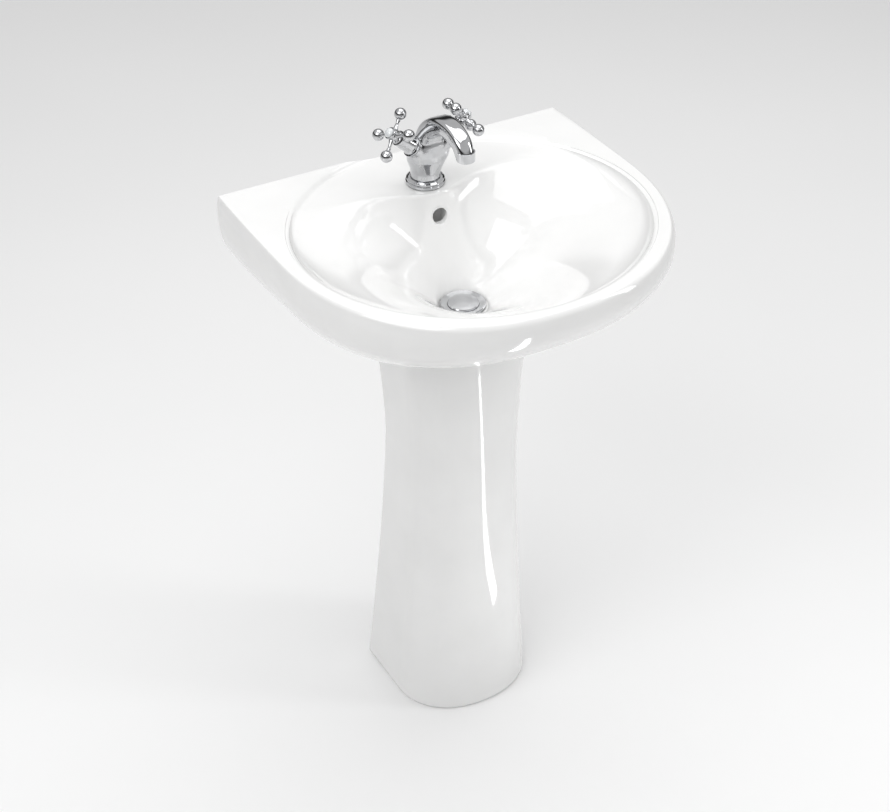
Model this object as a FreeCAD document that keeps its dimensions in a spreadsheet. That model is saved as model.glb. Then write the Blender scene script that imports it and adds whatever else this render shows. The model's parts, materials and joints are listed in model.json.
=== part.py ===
import FreeCAD, Part
import Sketcher
import math
import os

Vector = FreeCAD.Vector
Rotation = FreeCAD.Rotation
Placement = FreeCAD.Placement

# A wash basin on a pedestal, with a two-handle mixer, a push-button waste and a bottle trap.
# Millimetres. The origin is on the floor under the middle of the plan: +Z is up, +X is to the
# right of someone at the basin, and the wall that it hangs on is the plane y = depth / 2.
DIMENSIONS = {
    # basin, china
    "width": 540.0,
    "depth": 470.0,
    "rim_z": 830.0,
    "wall_to_shoulder": 190.0,
    "back_reach": 600.0,
    "roll_side": 5.0,
    "roll_front": 11.0,
    "roll_height": 20.0,
    "belly": 140.0,
    "china": 11.0,
    "wall_to_bowl": 220.0,
    "bowl_half_width": 242.0,
    "bowl_half_depth": 226.0,
    "bowl_floor": 145.0,
    "shelf": 24.0,
    "wall_to_drain": 198.0,
    "seat_r": 33.0,
    "drain_r": 22.5,
    "boss_r": 43.0,
    "boss_z": 662.0,
    "deck_drop": 6.0,
    "wall_to_tap": 93.0,
    "tap_hole_r": 17.5,
    "wall_to_overflow": 132.0,
    "overflow_drop": 38.0,
    "overflow_r": 11.0,
    "wall_hole_r": 7.0,
    "wall_hole_span": 280.0,
    "wall_hole_drop": 62.0,
    # pedestal, china
    "foot_half": 106.0,
    "waist_half": 79.0,
    "waist_z": 450.0,
    "pedestal_front": 276.0,
    "pedestal_centre": 187.5,
    "pedestal_back": 86.0,
    "pedestal_wall": 11.0,
    "screw_hole_r": 4.0,
    "screw_hole_span": 130.0,
    # mixer
    "deck_z": 824.0,
    "ring_r": 27.0,
    "trunk_r": 21.0,
    "valve_lean": 50.0,
    "valve_forward": 10.0,
    "valve_up": 45.0,
    "arm_r": 14.0,
    "arm_end": 34.0,
    "cartridge_r": 10.4,
    "shroud_r": 13.0,
    "spindle_r": 4.0,
    "handle_at": 69.0,
    "ball_at": 30.0,
    "ball_r": 7.5,
    "hub_r": 9.0,
    "cap_r": 6.8,
    "stud_r": 4.0,
    "stud_back": 10.0,
    "hose_r": 4.6,
    "spout_reach": 109.0,
    "spout_tip_up": 98.0,
    "aerator_r": 12.3,
    "aerator_drop": 13.0,
    # waste and trap
    "flange_r": 31.5,
    "tail_r": 20.9,
    "tail_end_z": 598.0,
    "plug_r": 21.5,
    "trap_tube_r": 16.0,
    "trap_outlet_z": 492.0,
    "trap_body_r": 31.0,
    "trap_cup_r": 29.0,
    "trap_floor_z": 400.0,
}

doc = FreeCAD.newDocument("pedestal_basin")
sheet = doc.addObject("Spreadsheet::Sheet", "Sizes")
for row, (alias, number) in enumerate(DIMENSIONS.items(), start=1):
    sheet.set("A%d" % row, alias)
    sheet.set("B%d" % row, str(number))
    sheet.setAlias("B%d" % row, alias)
doc.recompute()


def dim(alias):
    """The number in the sheet's cell of that name."""
    return float(getattr(sheet, alias))


def size(*terms):
    """A length as (number, expression): a sum of sheet names, "-name" to take away, and numbers."""
    total = 0.0
    words = []
    for term in terms:
        if isinstance(term, str):
            sign = -1.0 if term.startswith("-") else 1.0
            alias = term.lstrip("-")
            total += sign * dim(alias)
            words.append("%s Sizes.%s" % ("-" if sign < 0 else "+", alias))
        else:
            total += term
            words.append("%s %g" % ("-" if term < 0 else "+", abs(term)))
    return total, " ".join(words).lstrip("+ ")


def as_size(value):
    """value as size() gives it, from a name, a number or a tuple of both."""
    return size(*value) if isinstance(value, tuple) else size(value)


WALL = dim("depth") / 2
RIM = dim("rim_z")
DRAIN_Y = WALL - dim("wall_to_drain")
TAP_Y = WALL - dim("wall_to_tap")


# ---------------------------------------------------------------- sketch helpers
def body_with_sketch(name, role="XZ_Plane"):
    """A new PartDesign body and its first sketch, on one of the body's own planes."""
    body = doc.addObject("PartDesign::Body", name)
    return body, sketch_on(body, name + "_profile", role)


def sketch_on(body, name, role):
    sketch = body.newObject("Sketcher::SketchObject", name)
    plane = [item for item in body.Origin.OriginFeatures if item.Role == role][0]
    sketch.AttachmentSupport = (plane, [""])
    sketch.MapMode = "FlatFace"
    return sketch


def pin_point(sketch, edge, end, x, y):
    """Fixes one end of an edge at (x, y), each a size() pair bound to the sheet."""
    for kind, (number, words), axis in (("DistanceX", x, -2), ("DistanceY", y, -1)):
        if abs(number) < 1e-9:
            sketch.addConstraint(Sketcher.Constraint("PointOnObject", edge, end, axis))
            continue
        index = sketch.addConstraint(Sketcher.Constraint(kind, -1, 1, edge, end, number))
        sketch.setExpression("Constraints[%d]" % index, words)


def draw_outline(sketch, outline):
    """Draws a closed polygon whose corners are pairs of sizes, and fixes every corner."""
    corners = [(as_size(x), as_size(y)) for x, y in outline]
    points = [Vector(x[0], y[0], 0) for x, y in corners]
    for index, point in enumerate(points):
        following = points[(index + 1) % len(points)]
        sketch.addGeometry(Part.LineSegment(point, following), False)
    for index in range(len(points)):
        following = (index + 1) % len(points)
        sketch.addConstraint(Sketcher.Constraint("Coincident", index, 2, following, 1))
    for index, (x, y) in enumerate(corners):
        pin_point(sketch, index, 1, x, y)


def turned(name, outline):
    """A body turned on a lathe: outline is (radius, height) pairs round the body's own Z axis."""
    body, sketch = body_with_sketch(name)
    draw_outline(sketch, outline)
    turn = body.newObject("PartDesign::Revolution", name + "_turn")
    turn.Profile = sketch
    turn.ReferenceAxis = (sketch, ["V_Axis"])
    turn.Angle = 360.0
    return body


def place(thing, x=0.0, y=0.0, z=0.0, rotation=None):
    """Puts a piece at x, y, z, each a size, bound to the sheet."""
    spots = [as_size(value) for value in (x, y, z)]
    thing.Placement = Placement(Vector(*[spot[0] for spot in spots]), rotation or Rotation())
    for axis, (number, words) in zip("xyz", spots):
        if number:
            thing.setExpression("Placement.Base." + axis, words)
    return thing


def at_tap(thing, z=0.0):
    return place(thing, 0.0, TAP_SPOT, z)


def at_drain(thing, rotation=None, z=0.0):
    return place(thing, 0.0, DRAIN_SPOT, z, rotation)


def add_primitive(kind, name, **sizes):
    """A Part primitive whose properties are bound to the sheet."""
    shape = doc.addObject("Part::" + kind, name)
    for prop, value in sizes.items():
        number, words = as_size(value)
        setattr(shape, prop, number)
        shape.setExpression(prop, words)
    return shape


def cut(name, base, *tools):
    """base less the tools, as a Part::Cut."""
    tool = tools[0]
    if len(tools) > 1:
        tool = doc.addObject("Part::MultiFuse", name + "_tools")
        tool.Shapes = list(tools)
    result = doc.addObject("Part::Cut", name)
    result.Base = base
    result.Tool = tool
    return result


def feature(name, shape):
    """A piece whose form is set by functions of the sheet's sizes."""
    piece = doc.addObject("Part::Feature", name)
    piece.Shape = shape
    return piece


# "wall less so much" as sheet expressions: half of the depth, so the sheet holds them as cells
def add_cell(alias, number_words):
    """One more cell, worked out from the others."""
    row = len(DIMENSIONS) + 1
    DIMENSIONS[alias] = None
    sheet.set("A%d" % row, alias)
    sheet.set("B%d" % row, "=" + number_words)
    sheet.setAlias("B%d" % row, alias)


add_cell("wall_y", "depth / 2")
add_cell("drain_y", "depth / 2 - wall_to_drain")
add_cell("tap_y", "depth / 2 - wall_to_tap")
add_cell("valve_y", "depth / 2 - wall_to_tap - valve_forward")
add_cell("valve_z", "deck_z + valve_up")
add_cell("spout_y", "depth / 2 - wall_to_tap - spout_reach")
add_cell("spout_tip_z", "deck_z + spout_tip_up")
doc.recompute()
TAP_SPOT = "tap_y"
DRAIN_SPOT = "drain_y"

# ---------------------------------------------------------------- surfaces by formula
TURN = 2 * math.pi
SECTION_POINTS = 48


def ring_wire(points):
    """A smooth closed wire through the points."""
    curve = Part.BSplineCurve()
    curve.interpolate(points, PeriodicFlag=True)
    return Part.Wire(curve.toShape())


def loft(wires):
    return Part.makeLoft(wires, True, False)


def box_between(low, high):
    """A box from its lowest to its highest corner."""
    low, high = Vector(*low), Vector(*high)
    span = high - low
    return Part.makeBox(span.x, span.y, span.z, low)


def superellipse_radius(angle, half_x, half_y, power):
    """Distance from the centre to a superellipse in that direction."""
    part_x = abs(math.cos(angle) / half_x) ** power
    part_y = abs(math.sin(angle) / half_y) ** power
    return (part_x + part_y) ** (-1 / power)


def basin_outline(angle):
    """The basin's widest outline in plan: a full round front, and sides that run on past the wall."""
    centre_y = WALL - dim("wall_to_shoulder")
    if math.sin(angle) <= 0:
        reach, power = dim("depth") - dim("wall_to_shoulder"), 2.25
    else:
        reach, power = dim("back_reach"), 3.0
    radius = superellipse_radius(angle, dim("width") / 2, reach, power)
    return Vector(radius * math.cos(angle), centre_y + radius * math.sin(angle), 0)


def belly_scale(angle, depth):
    """How far out the underside is at that depth under its widest level, from 1 down to 0."""
    front = max(-math.sin(angle), 0.0)
    back = max(math.sin(angle), 0.0)
    power = 2.3 - 0.65 * front ** 1.3 + 0.9 * back
    return (1 - min(depth / dim("belly"), 1.0) ** power) ** (1 / power)


def basin_section(level, inset=0.0):
    """The basin's outside at that level under the rim, drawn in by inset."""
    centre = Vector(0, DRAIN_Y, 0)
    roll = dim("roll_height")
    points = []
    for step in range(SECTION_POINTS):
        angle = TURN * step / SECTION_POINTS
        reach = basin_outline(angle) - centre
        length = reach.Length
        if level <= roll:
            lip = dim("roll_side") + (dim("roll_front") - dim("roll_side")) * max(-math.sin(angle), 0)
            rise = (roll - level) / roll
            scale = (length - lip * (1 - math.sqrt(max(0.0, 1 - rise ** 2)))) / length
        else:
            scale = belly_scale(angle, level - roll)
        scale = max(scale - inset / length, 0.04)
        point = centre + reach * scale
        points.append(Vector(point.x, point.y, RIM - level))
    return ring_wire(points)


def basin_outside(levels, inset=0.0, lift=0.0):
    """The closed outside of the basin; inset and lift draw it in for the hollow underneath."""
    wires = []
    for level in levels:
        wire = basin_section(level + lift, inset)
        wire.translate(Vector(0, 0, lift))
        wires.append(wire)
    return loft(wires)


def bowl_depth(share):
    """Depth of the dish where its outline is that share of the rim's inner edge."""
    start = dim("seat_r") / dim("bowl_half_width")
    along = min(max((share - start) / (1 - start), 0.0), 1.0)
    slope = dim("shelf") + (dim("bowl_floor") - dim("shelf")) * (1 - along) ** 2.2
    wall_along = min(max((share - 0.78) / 0.22, 0.0), 1.0)
    return slope * math.sqrt(1 - wall_along ** 2)


def bowl_share(x, y):
    """The share of the rim's inner edge that passes through x, y."""
    shift = WALL - dim("wall_to_drain") - (WALL - dim("wall_to_bowl"))
    half_x, half_y = dim("bowl_half_width"), dim("bowl_half_depth")
    back = y - DRAIN_Y
    lead = 1 - (shift / half_y) ** 2
    cross = back * shift / half_y ** 2
    return (cross + math.sqrt(cross ** 2 + lead * ((x / half_x) ** 2 + (back / half_y) ** 2))) / lead


def ellipse_wire(share, depth, swell=0.0):
    """The rim's inner edge at that share of its size, at that depth under the rim."""
    shift = (dim("wall_to_bowl") - dim("wall_to_drain")) * share
    half_x = dim("bowl_half_width") * share + swell
    half_y = dim("bowl_half_depth") * share + swell
    ellipse = Part.Ellipse(Vector(0, DRAIN_Y - shift, RIM - depth), half_x, half_y)
    return Part.Wire(ellipse.toShape())


def wave_y(x):
    """Front edge of the tap deck: two shallow arches that dip forward in the middle."""
    arch = 106.5 + 49 * (abs(x) / 232) ** 5.5
    return WALL - arch - 23 * math.exp(-((x / 50) ** 2))


def valley_y(x):
    """The valley where the steep back of the bowl meets the dish, led round the drain's seat."""
    return DRAIN_Y + 38 * math.exp(-((x / 52) ** 2))


def panel_y(x, depth):
    """How far back the bowl's steep back panel is at x, at that depth under the rim."""
    low_y = valley_y(x)
    low_depth = bowl_depth(bowl_share(x, low_y))
    edge_depth = dim("deck_drop") + 5
    slope = (wave_y(x) - low_y) / (low_depth - edge_depth)
    return low_y + slope * (low_depth - depth)


def bowl_section(share, depth, swell=0.0, panel_shift=0.0):
    """The bowl's outline at one depth: the dish's ellipse, cut across by the back panel."""
    centre_y = DRAIN_Y - (dim("wall_to_bowl") - dim("wall_to_drain")) * share
    half_x = dim("bowl_half_width") * share + swell
    half_y = dim("bowl_half_depth") * share + swell
    points = []
    steps = 72
    for step in range(steps):
        angle = TURN * step / steps
        radius = superellipse_radius(angle, half_x, half_y, 2)
        low, high = 0.0, radius
        along_x, along_y = math.cos(angle), math.sin(angle)
        if centre_y + high * along_y > panel_y(high * along_x, depth) + panel_shift:
            for halving in range(30):
                middle = (low + high) / 2
                if centre_y + middle * along_y > panel_y(middle * along_x, depth) + panel_shift:
                    high = middle
                else:
                    low = middle
        points.append(Vector(high * along_x, centre_y + high * along_y, RIM - depth))
    return ring_wire(points)


def bowl_form(swell=0.0, drop=0.0, top=4.0):
    """The bowl's hollow from the flat seat round the drain to just over the rim, or its skin."""
    seat = dim("seat_r") / dim("bowl_half_width")
    shares = [seat, 0.17, 0.22, 0.3, 0.4, 0.5, 0.64, 0.78, 0.86, 0.93, 0.98]
    shift = 1.6 * swell
    wires = [bowl_section(share, bowl_depth(share) + drop, swell, shift) for share in shares]
    wires.append(bowl_section(1.0, -top, swell, shift))
    return loft(wires)


def make_basin():
    """The china basin: outside, dish, tap deck, hollow underside, holes and the overflow duct."""
    china = dim("china")
    levels = [0, 2, 6, 12, 20, 40, 64, 90, 114, 134, 148, 156]
    wall_block = box_between((-400, WALL, 0), (400, WALL + 600, RIM + 50))
    outside = basin_outside(levels).cut(wall_block)

    bowl = bowl_form()
    recess = loft([ellipse_wire(1.0, dim("deck_drop"), -5), ellipse_wire(1.0, -1, 5)])

    hollow_levels = [19, 34, 50, 70, 90, 110, 130, 140]
    hollow = basin_outside(hollow_levels, inset=china, lift=0.8 * china)
    hollow = hollow.cut(box_between((-400, WALL - 14, 0), (400, WALL + 600, RIM + 50)))
    deck_bottom = RIM - dim("deck_drop") - 13
    hollow = hollow.cut(box_between((-400, -400, deck_bottom), (400, 600, RIM + 50)))
    bowl_skin = bowl_form(swell=china, drop=china, top=0)
    duct_y = WALL - dim("wall_to_overflow") + 12
    rib = box_between((-16, DRAIN_Y, dim("boss_z")), (16, duct_y + 13, RIM - 10))
    boss = Part.makeCylinder(dim("boss_r"), 60, Vector(0, DRAIN_Y, dim("boss_z")))
    hollow = hollow.cut(bowl_skin).cut(rib).cut(boss)
    access = box_between((-72, DRAIN_Y + 50, 600), (72, WALL - 24, RIM - 100))

    drain = Part.makeCylinder(dim("drain_r"), 80, Vector(0, DRAIN_Y, 640))
    seat = Part.makeCylinder(dim("flange_r") + 0.8, 20, Vector(0, DRAIN_Y, RIM - dim("bowl_floor")))
    tap_hole = Part.makeCylinder(dim("tap_hole_r"), 40, Vector(0, TAP_Y, deck_bottom - 10))
    overflow_z = RIM - dim("overflow_drop")
    overflow = Part.makeCylinder(
        dim("overflow_r"), 28, Vector(0, duct_y - 24, overflow_z), Vector(0, 1, 0)
    )
    duct_low_z = dim("boss_z") + 9
    duct = Part.makeCylinder(7, overflow_z - duct_low_z, Vector(0, duct_y, duct_low_z))
    run_start = Vector(0, DRAIN_Y, duct_low_z)
    duct_run = Part.makeCylinder(5, duct_y - DRAIN_Y, run_start, Vector(0, 1, 0))
    wall_holes = [
        Part.makeCylinder(
            dim("wall_hole_r"),
            40,
            Vector(side * dim("wall_hole_span") / 2, WALL - 30, RIM - dim("wall_hole_drop")),
            Vector(0, 1, 0),
        )
        for side in (-1, 1)
    ]
    basin = outside.cut(bowl.fuse(recess)).cut(hollow).cut(access)
    core = boss.fuse(rib).common(box_between((-60, 0, 650), (60, 160, RIM - 150)))
    basin = basin.fuse(core)
    for hole in [drain, seat, tap_hole, overflow, duct, duct_run] + wall_holes:
        basin = basin.cut(hole)
    return basin


def pedestal_half_width(level):
    """Half the pedestal's width: a wide foot, a waist, and a flare under the basin."""
    waist_z = dim("waist_z")
    if level < waist_z:
        spread = dim("foot_half") - dim("waist_half")
        return dim("waist_half") + spread * ((waist_z - level) / waist_z) ** 1.35
    return dim("waist_half") + 20 * ((level - waist_z) / 250) ** 1.6


def pedestal_wire(level, inset=0.0, past_back=0.0):
    """The pedestal's plan at that level: a superellipse front and straight sides to an open back."""
    half = pedestal_half_width(level) - inset
    centre_y = WALL - dim("pedestal_centre")
    front_reach = dim("pedestal_front") - dim("pedestal_centre") - inset
    grown = (half + inset - dim("waist_half")) / (dim("foot_half") - dim("waist_half"))
    back_y = WALL - dim("pedestal_back") - 23.5 * (1 - grown) + past_back
    points = []
    steps = 24
    for step in range(steps + 1):
        angle = -math.pi * step / steps
        radius = superellipse_radius(angle, half, front_reach, 2.15)
        points.append(Vector(radius * math.cos(angle), centre_y + radius * math.sin(angle), level))
    corners = [Vector(-half, back_y, level), Vector(half, back_y, level)]
    front = Part.BSplineCurve()
    front.interpolate(points, InitialTangent=Vector(0, -1, 0), FinalTangent=Vector(0, 1, 0))
    edges = [
        front.toShape(),
        Part.makeLine(points[-1], corners[0]),
        Part.makeLine(corners[0], corners[1]),
        Part.makeLine(corners[1], points[0]),
    ]
    return Part.Wire(edges)


def make_pedestal(basin_form):
    """The china pedestal: a hollow column with an open back, cut to the basin's underside."""
    levels = [0, 60, 140, 240, 340, 450, 540, 620, 680, 730]
    wall = dim("pedestal_wall")
    outside = loft([pedestal_wire(level) for level in levels])
    inside = loft([pedestal_wire(level, wall, 60) for level in levels])
    column = outside.cut(inside)
    half_span = dim("screw_hole_span") / 2
    lug_y = WALL - dim("pedestal_back") - 22
    for side in (-1, 1):
        near, far = side * (half_span - 16), side * (dim("foot_half") - 6)
        lug = box_between((min(near, far), lug_y - 16, 0), (max(near, far), lug_y + 16, 14))
        column = column.fuse(lug)
        hole = Part.makeCylinder(dim("screw_hole_r"), 30, Vector(side * half_span, lug_y, -5))
        column = column.cut(hole)
    gap = basin_form.copy()
    gap.translate(Vector(0, 0, -1))
    return column.cut(gap).removeSplitter()


def check(piece):
    """Stops if a piece is failed, empty or not a sound shape."""
    shape = piece.Shape
    if "Invalid" in piece.State or "Error" in piece.State:
        raise RuntimeError("%s failed: %s" % (piece.Label, piece.State))
    if shape.isNull() or not shape.isValid() or not shape.Solids:
        raise RuntimeError("%s has no sound solid" % piece.Label)


# ---------------------------------------------------------------- china
basin = feature("basin", make_basin())
pedestal = feature("pedestal", make_pedestal(basin_outside([20, 40, 64, 90, 114, 134, 148, 156])))

# ---------------------------------------------------------------- mixer, fixed to the tap deck
GASKET = 1.5
RING_TOP = 11.0
tap_gasket = at_tap(turned("tap_gasket", [
    (("tap_hole_r", 0.5), ("deck_z", 0)),
    (("ring_r", -1), ("deck_z", 0)),
    (("ring_r", -1), ("deck_z", GASKET)),
    (("tap_hole_r", 0.5), ("deck_z", GASKET)),
]))
tap_base_ring = at_tap(turned("tap_base_ring", [
    (("trunk_r", -2.9), ("deck_z", GASKET)),
    (("ring_r", -0.4), ("deck_z", GASKET)),
    (("ring_r", 0), ("deck_z", 2.4)),
    (("ring_r", 0), ("deck_z", 5.0)),
    (("ring_r", -1.6), ("deck_z", 6.4)),
    (("ring_r", -1.0), ("deck_z", 7.4)),
    (("ring_r", -1.0), ("deck_z", 8.8)),
    (("ring_r", -3.4), ("deck_z", 10.4)),
    (("trunk_r", 1.0), ("deck_z", RING_TOP)),
    (("trunk_r", -2.9), ("deck_z", RING_TOP)),
]))


def tap_point(forward, up, side=0.0):
    """A point by its distance in front of the tap hole and above the tap deck."""
    return Vector(side, TAP_Y - forward, dim("deck_z") + up)


def spout_route():
    """The spout's centre line, from inside the trunk over its arch to straight above the outlet."""
    reach, tip = dim("spout_reach"), dim("spout_tip_up")
    points = [
        tap_point(4, 30),
        tap_point(7, 62),
        tap_point(20, 96),
        tap_point(44, 120),
        tap_point(74, 125),
        tap_point(reach - 10, 111),
        tap_point(reach, tip),
    ]
    route = Part.BSplineCurve()
    route.interpolate(points, FinalTangent=Vector(0, 0, -30), InitialTangent=Vector(0, 0, 30))
    return route


def spout_form(widths, depths, start=0.0):
    """A tube of ellipses along the spout's route, widest across at the root."""
    route = spout_route()
    first, last = route.FirstParameter, route.LastParameter
    wires = []
    count = len(widths)
    for index in range(count):
        share = start + (1 - start) * index / (count - 1)
        at = first + (last - first) * share
        tangent = route.tangent(at)[0]
        lean = math.degrees(math.atan2(-tangent.y, tangent.z))
        ellipse = Part.Ellipse(Vector(0, 0, 0), widths[index], depths[index])
        wire = Part.Wire(ellipse.toShape())
        if widths[index] < depths[index]:
            ellipse = Part.Ellipse(Vector(0, 0, 0), depths[index], widths[index])
            wire = Part.Wire(ellipse.toShape())
            wire.rotate(Vector(0, 0, 0), Vector(0, 0, 1), 90)
        wire.Placement = Placement(route.value(at), Rotation(Vector(1, 0, 0), lean)) * wire.Placement
        wires.append(wire)
    return loft(wires)


def valve_axis(side):
    """The outward direction of the valve on that side, -1 for hot and 1 for cold."""
    lean = math.radians(dim("valve_lean"))
    return Vector(side * math.sin(lean), 0, math.cos(lean))


def make_tap_body():
    """The cast mixer body: trunk, two arms with beads, spout, waterways and sockets."""
    deck = dim("deck_z")
    root = Vector(0, TAP_Y - dim("valve_forward"), deck + dim("valve_up"))
    trunk_r = dim("trunk_r")
    foot = Part.makeCylinder(trunk_r - 3, RING_TOP - GASKET + 2, tap_point(0, GASKET))
    levels = [
        (RING_TOP, 0, 0, trunk_r),
        (22, 2, 0.5, trunk_r),
        (36, 6, 4, trunk_r + 1),
        (52, 9, 6, trunk_r),
    ]
    wires = []
    for up, forward, widen, radius in levels:
        ellipse = Part.Ellipse(tap_point(forward * 0.8, up), radius + widen, radius)
        if widen == 0:
            ellipse = Part.Circle(tap_point(forward, up), Vector(0, 0, 1), radius)
        wires.append(Part.Wire(ellipse.toShape()))
    form = foot.fuse(loft(wires))
    half_widths = [19, 17.5, 15.5, 14.5, 13.8, 13, 12.3]
    half_depths = [17, 15.5, 13.5, 12.2, 12, 12, 12.3]
    form = form.fuse(spout_form(half_widths, half_depths))
    for side in (-1, 1):
        axis = valve_axis(side)
        arm = Part.makeCone(dim("arm_r") + 3.5, dim("arm_r"), dim("arm_end") - 2, root, axis)
        bead_at = root + axis * (dim("arm_end") - 4)
        bead = Part.makeCylinder(dim("arm_r") + 1.2, 4, bead_at, axis)
        form = form.fuse(arm).fuse(bead)
    floor_at = dim("arm_end") - 14.5
    riser = Part.makeCylinder(5.5, 20, root, Vector(0, 2, 19))
    form = form.cut(riser)
    for side in (-1, 1):
        axis = valve_axis(side)
        socket = Part.makeCylinder(dim("cartridge_r") + 0.05, 30, root + axis * floor_at, axis)
        waterway = Part.makeCylinder(3.5, floor_at, root, axis)
        inlet = Part.makeCylinder(dim("hose_r"), 16, tap_point(1, 0, side * 8.5))
        feed_start = tap_point(1, 15, side * 8.5)
        feed_end = root + axis * (floor_at + 1) + Vector(0, 6, 0)
        feed_run = feed_end - feed_start
        feed = Part.makeCylinder(2.6, feed_run.Length, feed_start, feed_run)
        for tool in (socket, waterway, inlet, feed):
            form = form.cut(tool)
    stud_hole = Part.makeCylinder(dim("stud_r") + 0.05, 18, tap_point(-dim("stud_back"), 0))
    bore_half_widths = [6.5, 8.0, 8.5, 8.5, 8.5, 8.5, 8.5]
    bore = spout_form(bore_half_widths, [6.0, 7.0, 7.5, 7.5, 7.5, 8.0, 8.5], 0.24)
    form = form.cut(stud_hole).cut(bore)
    return form


tap_body = feature("tap_body", make_tap_body())
tap_stud = at_tap(turned("tap_stud", [
    (0, ("deck_z", -62)),
    (("stud_r",), ("deck_z", -62)),
    (("stud_r",), ("deck_z", 16)),
    (0, ("deck_z", 16)),
]))
place(tap_stud, 0.0, ("tap_y", "stud_back"))

DECK_THICKNESS = 13.0


def horseshoe(name, radius, thickness, top):
    """A horseshoe plate under the tap deck, with a hole for the stud and a gap for the two hoses."""
    plate = add_primitive("Cylinder", name + "_disc", Radius=radius, Height=thickness)
    place(plate, 0.0, "tap_y", ("deck_z", top, -thickness))
    hole = add_primitive("Cylinder", name + "_stud_hole", Radius=("stud_r", 0.4), Height=20.0)
    place(hole, 0.0, ("tap_y", "stud_back"), ("deck_z", top, -12))
    gap = add_primitive("Box", name + "_gap", Length=32.0, Width=40.0, Height=20.0)
    place(gap, -16.0, ("tap_y", -36), ("deck_z", top, -12))
    return cut(name, plate, hole, gap)


horseshoe_washer = horseshoe("horseshoe_washer", 24.0, 3.0, -DECK_THICKNESS)
horseshoe_plate = horseshoe("horseshoe_plate", 23.0, 2.5, -DECK_THICKNESS - 3.0)


def hex_nut(name, across_flats, height, bore, x, y, z):
    """A hexagon nut with a plain bore."""
    prism = doc.addObject("Part::Prism", name + "_blank")
    prism.Polygon = 6
    prism.Circumradius = across_flats / math.sqrt(3)
    prism.Height = height
    place(prism, x, y, z)
    hole = add_primitive("Cylinder", name + "_bore", Radius=bore, Height=height + 4)
    bottom = (z if isinstance(z, tuple) else (z,)) + (-2,)
    place(hole, x, y, bottom)
    return cut(name, prism, hole)


stud_nut = hex_nut(
    "stud_nut", 13.0, 9.0, ("stud_r", 0.05), 0.0, ("tap_y", "stud_back"), ("deck_z", -27.5)
)

# ---------------------------------------------------------------- valves and handles
HANDLE_SPIN = {-1: 25.0, 1: 22.0}
SIDE_NAMES = {-1: "hot", 1: "cold"}


def on_valve(piece, side, spin=0.0):
    """Puts a piece drawn along Z on the valve's leaning axis."""
    lean = Rotation(Vector(0, 1, 0), side * dim("valve_lean"))
    return place(piece, 0.0, "valve_y", "valve_z", lean * Rotation(Vector(0, 0, 1), spin))


def make_handle(name):
    """A cross handle: a turned hub and four waisted arms that end in balls."""
    hub = turned(name + "_hub", [
        (("spindle_r", 0.04), ("handle_at", -8)),
        (("hub_r", -1.0), ("handle_at", -8)),
        (("hub_r", 0), ("handle_at", -7)),
        (("hub_r", 0), ("handle_at", -5.4)),
        (("hub_r", -1.8), ("handle_at", -3.4)),
        (("hub_r", -0.4), ("handle_at", 0)),
        (("hub_r", -1.4), ("handle_at", 3.6)),
        (("hub_r", -0.2), ("handle_at", 5.0)),
        (("hub_r", -0.2), ("handle_at", 7.2)),
        (("hub_r", -1.0), ("handle_at", 8)),
        (("cap_r", -1.6), ("handle_at", 8)),
        (("cap_r", -1.6), ("handle_at", 2.5)),
        (2.7, ("handle_at", 2.5)),
        (2.7, ("handle_at", -1)),
        (("spindle_r", 0.04), ("handle_at", -1)),
    ])
    parts = [hub]
    for index, (along_x, along_y) in enumerate(((1, 0), (0, 1), (-1, 0), (0, -1))):
        outward = Rotation(Vector(0, 0, 1), Vector(along_x, along_y, 0))
        start = [sign * 5.6 for sign in (along_x, along_y)]
        arm_name = "%s_arm_%d" % (name, index)
        arm = add_primitive("Cone", arm_name, Radius1=3.7, Radius2=2.5, Height=("ball_at", -11))
        place(arm, start[0], start[1], "handle_at", outward)
        ball = add_primitive("Sphere", "%s_ball_%d" % (name, index), Radius="ball_r")
        reach = ("ball_at",) if along_x + along_y > 0 else ("-ball_at",)
        place(ball, reach if along_x else 0.0, reach if along_y else 0.0, "handle_at")
        parts += [arm, ball]
    handle = doc.addObject("Part::MultiFuse", name)
    handle.Shapes = parts
    return handle


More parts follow.
